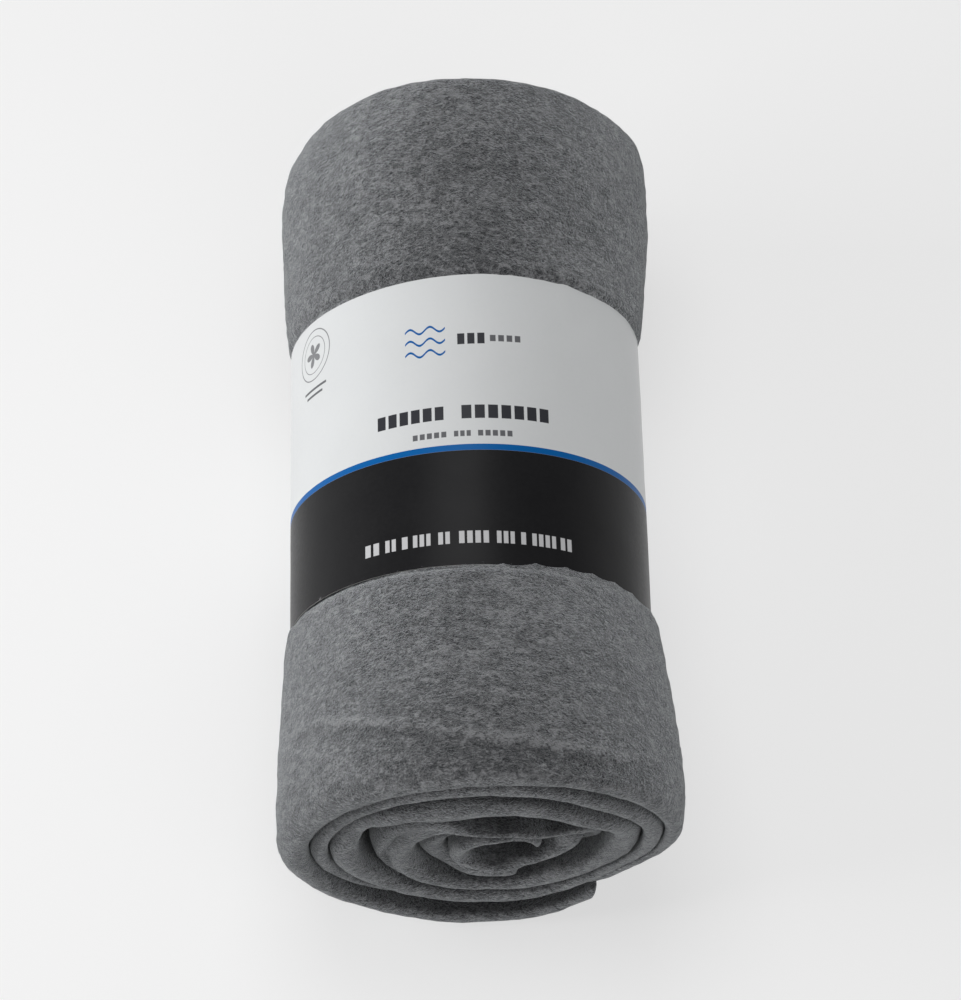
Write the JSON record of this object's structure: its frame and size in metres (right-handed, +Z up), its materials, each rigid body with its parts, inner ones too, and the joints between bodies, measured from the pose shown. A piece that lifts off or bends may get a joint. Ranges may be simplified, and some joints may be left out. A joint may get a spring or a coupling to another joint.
{
  "type": "rolled throw blanket in a paper sleeve",
  "caption": "Fleece throw folded in quarters and rolled into a soft cylinder, held by a printed paper sleeve that slides off either end.",
  "frame": {"origin": "middle of the footprint of the whole object, on the plane it lies on", "axes": "+Z up through the front of the sleeve, +Y along the roll away from its spiral end, +X to the right when looking at the spiral end"},
  "size_m": [0.1448, 0.32, 0.1414],
  "materials": {
    "fleece": "matte",
    "printed_paper": "satin",
    "glue": "satin",
    "satin_ribbon": "satin",
    "thread": "matte"
  },
  "bodies": {
    "roll": {"throw": "fleece", "care_label": "satin_ribbon", "care_label_thread": "thread"},
    "sleeve": {"paper_sleeve": "printed_paper", "sleeve_glue": "glue"}
  },
  "joints": [
    {"name": "sleeve_slide", "type": "slide", "parent": "roll", "child": "sleeve", "axis": [0, 1, 0], "range_m": [-0.24, 0.24]}
  ]
}
